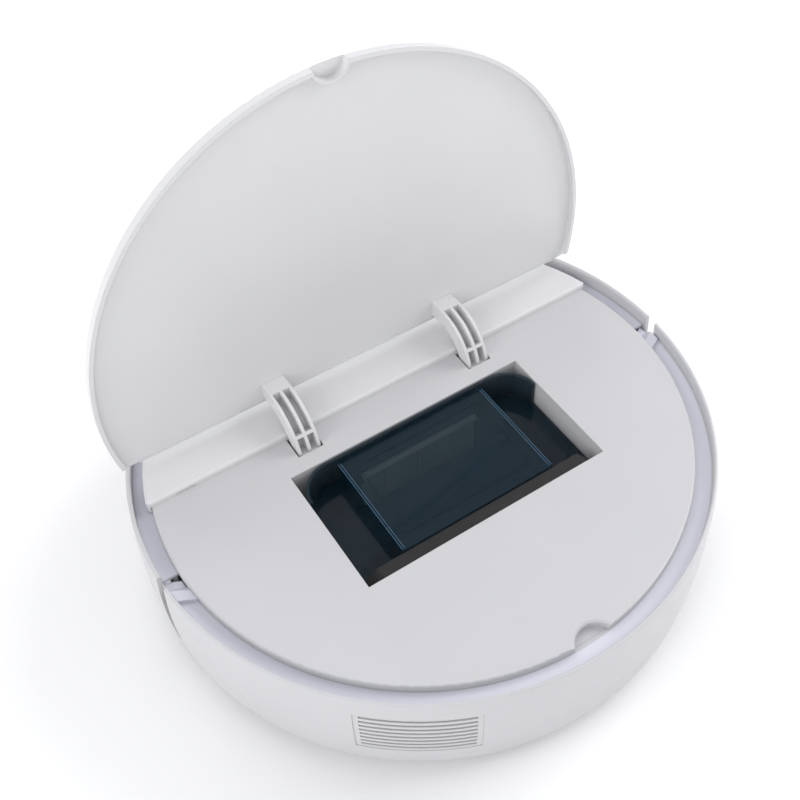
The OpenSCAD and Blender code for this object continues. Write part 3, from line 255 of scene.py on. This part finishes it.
def paint_channel_light_and_shade(m, colour):
    """Lays a lighter, cooler white over what lies inside the rim's channel, below the deck's top: painted
    light and bluish painted shade in the channel.
    """
    tree = m.node_tree
    shader = tree.nodes["Principled BSDF"]
    base = shader.inputs["Base Color"].links[0].from_socket
    coords = tree.nodes.new("ShaderNodeTexCoord")
    parts = tree.nodes.new("ShaderNodeSeparateXYZ")
    tree.links.new(coords.outputs["Object"], parts.inputs["Vector"])
    flat = tree.nodes.new("ShaderNodeCombineXYZ")
    tree.links.new(parts.outputs["X"], flat.inputs["X"])
    tree.links.new(parts.outputs["Y"], flat.inputs["Y"])
    radius = node(tree, "ShaderNodeVectorMath", operation="LENGTH")
    tree.links.new(flat.outputs["Vector"], radius.inputs[0])
    deck_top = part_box("deck")[1].z
    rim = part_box("upper_housing")[1].x
    inside = None
    for value, low, high in (
            (radius.outputs["Value"], rim - CHANNEL_INNER_EDGE[0], rim - CHANNEL_INNER_EDGE[1]),
            (radius.outputs["Value"], rim - CHANNEL_OUTER_EDGE[0], rim - CHANNEL_OUTER_EDGE[1]),
            (parts.outputs["Z"], deck_top + CHANNEL_TOP_EDGE[0], deck_top + CHANNEL_TOP_EDGE[1])):
        step = node(tree, "ShaderNodeMapRange", interpolation_type="SMOOTHSTEP",
                    **{"From Min": low, "From Max": high})
        tree.links.new(value, step.inputs["Value"])
        if inside is None:
            inside = step.outputs["Result"]
            continue
        both = node(tree, "ShaderNodeMath", operation="MULTIPLY")
        tree.links.new(inside, both.inputs[0])
        tree.links.new(step.outputs["Result"], both.inputs[1])
        inside = both.outputs["Value"]
    mix = node(tree, "ShaderNodeMix", data_type="RGBA")
    tree.links.new(inside, mix.inputs["Factor"])
    tree.links.new(base, mix.inputs[6])
    mix.inputs[7].default_value = (*colour, 1)
    tree.links.new(mix.outputs[2], shader.inputs["Base Color"])
    return m


def smoked(name, colour, density, roughness=0.08, solid_below=None):
    """Clear smoked plastic: tinted see-through with a clean gloss, opaque below a height."""
    m, tree, shader = new_material(name)
    coords = tree.nodes.new("ShaderNodeTexCoord")
    haze = scale_of(tree, coords, 30, 3)
    tint = ramp(tree, haze.outputs["Fac"], [c * 0.9 for c in colour], [c * 1.12 for c in colour])
    tree.links.new(tint.outputs["Color"], shader.inputs["Base Color"])
    rough = spread(tree, haze.outputs["Fac"], roughness * 0.7, roughness * 1.4)
    tree.links.new(rough.outputs["Result"], shader.inputs["Roughness"])
    shader.inputs["Alpha"].default_value = density
    if solid_below is not None:
        parts = tree.nodes.new("ShaderNodeSeparateXYZ")
        tree.links.new(coords.outputs["Object"], parts.inputs["Vector"])
        step = node(tree, "ShaderNodeMapRange",
                    **{"From Min": solid_below, "From Max": solid_below + SOLID_EDGE,
                       "To Min": 1.0, "To Max": density})
        tree.links.new(parts.outputs["Z"], step.inputs["Value"])
        tree.links.new(step.outputs["Result"], shader.inputs["Alpha"])
    return m


def turned_metal(name, colour, roughness):
    """Drawn or turned metal with fine lines round the piece."""
    m, tree, shader = new_material(name)
    coords = tree.nodes.new("ShaderNodeTexCoord")
    lines = scale_of(tree, coords, 1400, 1)
    rough = spread(tree, lines.outputs["Fac"], roughness * 0.75, roughness * 1.3)
    tree.links.new(rough.outputs["Result"], shader.inputs["Roughness"])
    tint = ramp(tree, lines.outputs["Fac"], [c * 0.94 for c in colour], colour)
    tree.links.new(tint.outputs["Color"], shader.inputs["Base Color"])
    shader.inputs["Metallic"].default_value = 1.0
    return m


def pleated_paper(name, colour):
    m, tree, shader = new_material(name)
    coords = tree.nodes.new("ShaderNodeTexCoord")
    fibre = scale_of(tree, coords, 2200, 6, 0.7)
    tint = ramp(tree, fibre.outputs["Fac"], [c * 0.86 for c in colour], colour)
    tree.links.new(tint.outputs["Color"], shader.inputs["Base Color"])
    bump = node(tree, "ShaderNodeBump", Strength=0.5, Distance=0.00006)
    tree.links.new(fibre.outputs["Fac"], bump.inputs["Height"])
    tree.links.new(bump.outputs["Normal"], shader.inputs["Normal"])
    shader.inputs["Roughness"].default_value = 0.9
    return m


def dress(material, *names):
    for n in names:
        o = NODES[n]
        o.data.materials.clear()
        o.data.materials.append(material)
        for p in o.data.polygons:
            p.material_index = 0


def rgb(v):
    return [v[0], v[1], v[2]]


def copy_of(context, piece):
    """A copy of a piece with a mesh of its own."""
    bpy.ops.object.select_all(action="DESELECT")
    piece.select_set(True)
    context.view_layer.objects.active = piece
    bpy.ops.object.duplicate(linked=False)
    return context.object


def joined(context, pieces):
    """The pieces as one object at the origin, with its place in its mesh."""
    bpy.ops.object.select_all(action="DESELECT")
    for piece in pieces:
        piece.select_set(True)
    context.view_layer.objects.active = pieces[0]
    bpy.ops.object.join()
    bpy.ops.object.transform_apply(location=True, rotation=True, scale=True)
    return context.object


class VACUUM_OT_white_mouldings(bpy.types.Operator):
    """Finish the housing, lid, arms, front panel and bumper in satin white"""
    bl_idname = "vacuum.white_mouldings"
    bl_label = "White mouldings"

    def execute(self, context):
        f = context.scene.vacuum_finish
        shell = moulded("satin white shell", rgb(f.shell_colour), f.shell_roughness,
                        edge=f.edge_radius, shade=0.012)
        dress(shell, "deck", "bin_well")
        rim = moulded("satin white rim", rgb(f.shell_colour), f.shell_roughness,
                      edge=f.edge_radius, shade=0.012)
        # The rim, bumper and ledge get painted light and bluish painted shade inside the channel
        dress(paint_channel_light_and_shade(rim, rgb(f.channel_painted_light_colour)), "upper_housing", "bumper_shell", "bumper_ledge")
        # Painted light: a lighter copy of the shell's white for the lid, arms and panel
        lid = moulded("satin white lid", rgb(f.lid_painted_light_colour), f.shell_roughness,
                      edge=f.edge_radius, shade=0.012)
        dress(lid, "lid_cover", "hinge_arm_left", "hinge_arm_right", "front_panel")
        cap = moulded("start button grey", [c * 0.93 for c in f.shell_colour], 0.3,
                      edge=f.edge_radius)
        dress(cap, "start_button")
        return {"FINISHED"}


class VACUUM_OT_bin_finish(bpy.types.Operator):
    """Finish the clear smoked bin, its dark frame, paper filter and inlet flap"""
    bl_idname = "vacuum.bin_finish"
    bl_label = "Dust bin"

    def execute(self, context):
        f = context.scene.vacuum_finish
        dress(smoked("smoked bin wall", rgb(f.smoke_colour), f.smoke_density * WALL_DENSITY,
                     solid_below=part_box("bin_body")[0].z + f.bin_floor), "bin_body")
        dress(smoked("smoked bin window", rgb(f.smoke_colour), f.smoke_density, 0.05), "bin_window")
        dress(moulded("bin frame brown-grey", rgb(f.frame_colour), 0.42), "bin_frame")
        dress(pleated_paper("filter paper", (0.8, 0.79, 0.74)), "bin_filter")
        dress(moulded("inlet flap grey", (0.42, 0.5, 0.52), 0.45), "bin_flap")
        return {"FINISHED"}


class VACUUM_OT_window_edges(bpy.types.Operator):
    """Model the fine pale lines along both sides of the bin's window, painted highlights standing in for its
    lit edges
    """
    bl_idname = "vacuum.window_edges"
    bl_label = "Window edges"

    def execute(self, context):
        f = context.scene.vacuum_finish
        low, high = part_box("bin_window")
        length = high.y - low.y - 2 * f.edge_margin
        bpy.ops.object.select_all(action="DESELECT")
        bpy.ops.mesh.primitive_cube_add(size=1, location=(0, 0, 0))
        strip = context.object
        bpy.ops.object.mode_set(mode="EDIT")
        bpy.ops.mesh.select_all(action="SELECT")
        bpy.ops.transform.resize(value=(f.edge_line, length, f.edge_line))
        bpy.ops.mesh.bevel(offset=f.edge_line * 0.25, segments=2)
        bpy.ops.object.mode_set(mode="OBJECT")
        # The strips carry a painted highlight colour
        strip.data.materials.append(moulded("window edge blue", rgb(f.highlight_line_colour), 0.3, grain_height=0))
        copies = []
        outer, inner = f.line_gap / 3, f.line_gap
        for x in (low.x - outer, low.x + inner, high.x - inner, high.x + outer):
            copy = copy_of(context, strip)
            copy.location = (x, (low.y + high.y) / 2, high.z)
            copies.append(copy)
        lines = joined(context, copies)
        lines.name = "window_edge_lines"
        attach(lines, "dust_bin")
        bpy.data.objects.remove(strip)
        return {"FINISHED"}


class VACUUM_OT_inner_works(bpy.types.Operator):
    """Finish the hinge brackets, fan, ducts, board, battery and motors"""
    bl_idname = "vacuum.inner_works"
    bl_label = "Inner works"

    def execute(self, context):
        dark = moulded("inner plastic black", (0.02, 0.02, 0.022), 0.55, grain=700)
        dress(dark, "hinge_bracket_left", "hinge_bracket_right", "blower_housing", "exhaust_duct",
              "brush_gear_case", "wheel_arm_left", "wheel_arm_right", "caster_fork")
        dress(moulded("fan light grey", (0.5, 0.5, 0.51), 0.45), "impeller")
        dress(moulded("solder resist green", (0.01, 0.09, 0.035), 0.35, grain=400), "main_board")
        dress(moulded("battery wrap blue", (0.01, 0.06, 0.25), 0.3, grain=300), "battery")
        steel = turned_metal("turned steel", (0.6, 0.6, 0.61), 0.3)
        dress(steel, "hinge_pins", "blower_motor", "side_motor_left", "side_motor_right", "base_screws")
        dress(turned_metal("nickel plated contacts", (0.72, 0.7, 0.64), 0.22), "charge_contacts")
        return {"FINISHED"}


class VACUUM_OT_underside(bpy.types.Operator):
    """Finish the pan, wheels, tyres, caster, brush guard, sensors and bumper window"""
    bl_idname = "vacuum.underside"
    bl_label = "Underside"

    def execute(self, context):
        f = context.scene.vacuum_finish
        pan = moulded("pan white matt", [c * 0.95 for c in f.shell_colour], 0.55, grain=1800,
                      edge=f.edge_radius)
        dress(pan, "base_pan", "pan_wall", "wheel_housing_left", "wheel_housing_right",
              "brush_tunnel", "caster_mount", "screw_posts", "pan_bosses", "battery_cover")
        rubber = moulded("tyre rubber", rgb(f.rubber_colour), 0.75, grain=1200, shade=0.1)
        dress(rubber, "tyre_left", "tyre_right", "brush_blades")
        grey = moulded("mid grey plastic", (0.2, 0.2, 0.21), 0.45)
        dress(grey, "wheel_hub_left", "wheel_hub_right", "brush_guard", "side_hub_left", "side_hub_right")
        dress(moulded("brush core grey", (0.08, 0.08, 0.085), 0.5), "brush_core")
        gloss = moulded("sensor window black", (0.006, 0.006, 0.007), 0.12, grain=200,
                        grain_height=0.000003)
        dress(gloss, "bumper_window", "caster_wheel", "cliff_sensor_left", "cliff_sensor_mid",
              "cliff_sensor_right")
        return {"FINISHED"}


class VACUUM_OT_side_brushes(bpy.types.Operator):
    """Model the three nylon tufts of each side brush"""
    bl_idname = "vacuum.side_brushes"
    bl_label = "Side brush tufts"

    def execute(self, context):
        b = context.scene.vacuum_brushes
        nylon = moulded("nylon bristle", (0.025, 0.025, 0.027), 0.38, shade=0.3)
        length = b.tuft_reach - b.tuft_root
        bpy.ops.object.select_all(action="DESELECT")
        bpy.ops.mesh.primitive_cylinder_add(
            vertices=6, radius=b.filament_diameter / 2, depth=length,
            location=(length / 2, 0, 0), rotation=(0, math.pi / 2, 0), end_fill_type="TRIFAN")
        filament = context.object
        bpy.ops.object.transform_apply(location=True, rotation=True, scale=True)
        bpy.ops.object.mode_set(mode="EDIT")
        bpy.ops.mesh.select_all(action="SELECT")
        bpy.ops.mesh.bisect(plane_co=(length * FILAMENT_SHAPE[0][0], 0, 0), plane_no=(1, 0, 0))
        bpy.ops.mesh.select_all(action="SELECT")
        bpy.ops.mesh.bisect(plane_co=(length * FILAMENT_SHAPE[1][0], 0, 0), plane_no=(1, 0, 0))
        for share, size, lift in FILAMENT_SHAPE:
            bpy.ops.mesh.select_all(action="DESELECT")
            bpy.ops.object.mode_set(mode="OBJECT")
            for v in filament.data.vertices:
                v.select = abs(v.co.x - share * length) < length * 0.02
            bpy.ops.object.mode_set(mode="EDIT")
            bpy.ops.transform.resize(value=(1, size, size))
            bpy.ops.transform.translate(value=(0, 0, lift))
        bpy.ops.object.mode_set(mode="OBJECT")
        filament.data.materials.append(nylon)
        for side in ("left", "right"):
            low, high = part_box("side_hub_" + side)
            hub = Vector(((low.x + high.x) / 2, (low.y + high.y) / 2,
                          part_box("side_bristles_" + side)[1].z - b.tuft_lift))
            inward = math.atan2(-hub.y, -hub.x)
            copies = []
            for tuft in range(TUFTS):
                turn = (Matrix.Translation(hub)
                        @ Matrix.Rotation(inward + tuft * math.tau / TUFTS, 4, "Z")
                        @ Matrix.Rotation(b.tuft_slope, 4, "Y"))
                for i in range(b.bristles_per_tuft):
                    share = math.sqrt((i + 0.5) / b.bristles_per_tuft)
                    angle = i * GOLDEN_ANGLE
                    y, z = share * math.cos(angle), share * math.sin(angle)
                    grow = (b.tuft_tip_radius - b.tuft_root_radius) / length
                    root = (b.tuft_root, y * b.tuft_root_radius, z * b.tuft_root_radius)
                    copy = copy_of(context, filament)
                    copy.matrix_world = (
                        turn @ Matrix.Translation(root)
                        @ Matrix.Rotation(math.atan(y * grow), 4, "Z")
                        @ Matrix.Rotation(-math.atan(z * grow), 4, "Y")
                        @ Matrix.Rotation(angle, 4, "X"))
                    copies.append(copy)
            brush = joined(context, copies)
            bpy.ops.object.shade_smooth_by_angle(angle=math.radians(60))
            brush.name = "side_brush_tufts_" + side
            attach(brush, side + "_side_brush")
            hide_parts("side_bristles_" + side)
        bpy.data.objects.remove(filament)
        return {"FINISHED"}


class VACUUM_OT_studio(bpy.types.Operator):
    """Set out the pale floor, the softboxes and the camera"""
    bl_idname = "vacuum.studio"
    bl_label = "Studio"

    def execute(self, context):
        s = context.scene.vacuum_studio
        scene = context.scene
        bpy.ops.object.select_all(action="DESELECT")
        bpy.ops.mesh.primitive_plane_add(size=12, location=(0, 0, 0))
        floor = context.object
        floor.name = "studio_floor"
        m, tree, shader = new_material("studio white")
        coords = tree.nodes.new("ShaderNodeTexCoord")
        cloud = scale_of(tree, coords, 0.6, 2)
        tint = ramp(tree, cloud.outputs["Fac"], (0.93, 0.93, 0.93), (0.95, 0.95, 0.95))
        tree.links.new(tint.outputs["Color"], shader.inputs["Base Color"])
        shader.inputs["Roughness"].default_value = 0.9
        shader.inputs["Specular IOR Level"].default_value = 0.1
        floor.data.materials.append(m)

        world = bpy.data.worlds.new("white surroundings")
        world.use_nodes = True
        background = world.node_tree.nodes["Background"]
        background.inputs["Color"].default_value = (0.95, 0.955, 1, 1)
        background.inputs["Strength"].default_value = s.sky_strength
        scene.world = world

        for name, place, size, power in SOFTBOXES:
            bpy.ops.object.light_add(type="AREA", location=place)
            lamp = context.object
            lamp.name = name
            lamp.data.shape = "RECTANGLE"
            lamp.data.size, lamp.data.size_y = size
            lamp.data.energy = getattr(s, power)
            aim = Vector(LAMP_TARGET) - Vector(place)
            lamp.rotation_euler = aim.to_track_quat("-Z", "Y").to_euler()
        # Its mirror image would hide what lies under the bin's window
        bpy.data.objects["overhead softbox"].visible_glossy = False

        bpy.ops.object.camera_add(location=s.camera_place)
        camera = context.object
        camera.name = "camera"
        az, el, roll = s.camera_azimuth, s.camera_elevation, s.camera_roll
        back = Vector((math.sin(az) * math.cos(el), -math.cos(az) * math.cos(el), math.sin(el)))
        side = (-back).cross(Vector((0, 0, 1))).normalized()
        up = side.cross(-back)
        x_axis = side * math.cos(roll) + up * math.sin(roll)
        y_axis = up * math.cos(roll) - side * math.sin(roll)
        camera.rotation_euler = Matrix((x_axis, y_axis, back)).transposed().to_euler()
        camera.data.sensor_width = 36
        camera.data.lens = s.lens
        camera.data.shift_x, camera.data.shift_y = s.shift
        camera.data.clip_start = 0.01
        scene.camera = camera
        scene.view_settings.view_transform = "Standard"
        scene.view_settings.look = "None"
        return {"FINISHED"}


class VACUUM_PT_panel(bpy.types.Panel):
    """Steps that finish the vacuum, in order"""
    bl_idname = "VACUUM_PT_panel"
    bl_label = "Robot floor vacuum"
    bl_space_type = "VIEW_3D"
    bl_region_type = "UI"
    bl_category = "Vacuum"

    def draw(self, context):
        column = self.layout.column()
        for group in (context.scene.vacuum_finish, context.scene.vacuum_brushes,
                      context.scene.vacuum_studio):
            for name in group.__annotations__:
                column.prop(group, name)
        for step in STEPS:
            column.operator(step.bl_idname)


STEPS = (VACUUM_OT_studio, VACUUM_OT_white_mouldings, VACUUM_OT_bin_finish, VACUUM_OT_window_edges,
         VACUUM_OT_inner_works, VACUUM_OT_underside, VACUUM_OT_side_brushes)
GROUPS = {"vacuum_finish": VacuumFinish, "vacuum_brushes": VacuumBrushes,
          "vacuum_studio": VacuumStudio}


def register():
    for group in GROUPS.values():
        bpy.utils.register_class(group)
    for name, group in GROUPS.items():
        setattr(bpy.types.Scene, name, PointerProperty(type=group))
    for step in STEPS:
        bpy.utils.register_class(step)
    bpy.utils.register_class(VACUUM_PT_panel)


def unregister():
    bpy.utils.unregister_class(VACUUM_PT_panel)
    for step in reversed(STEPS):
        bpy.utils.unregister_class(step)
    for name in GROUPS:
        delattr(bpy.types.Scene, name)
    for group in reversed(list(GROUPS.values())):
        bpy.utils.unregister_class(group)


def main():
    register()
    bpy.ops.vacuum.studio()
    bpy.ops.vacuum.white_mouldings()
    bpy.ops.vacuum.bin_finish()
    bpy.ops.vacuum.window_edges()
    bpy.ops.vacuum.inner_works()
    bpy.ops.vacuum.underside()
    bpy.ops.vacuum.side_brushes()


if __name__ == "__main__":
    main()
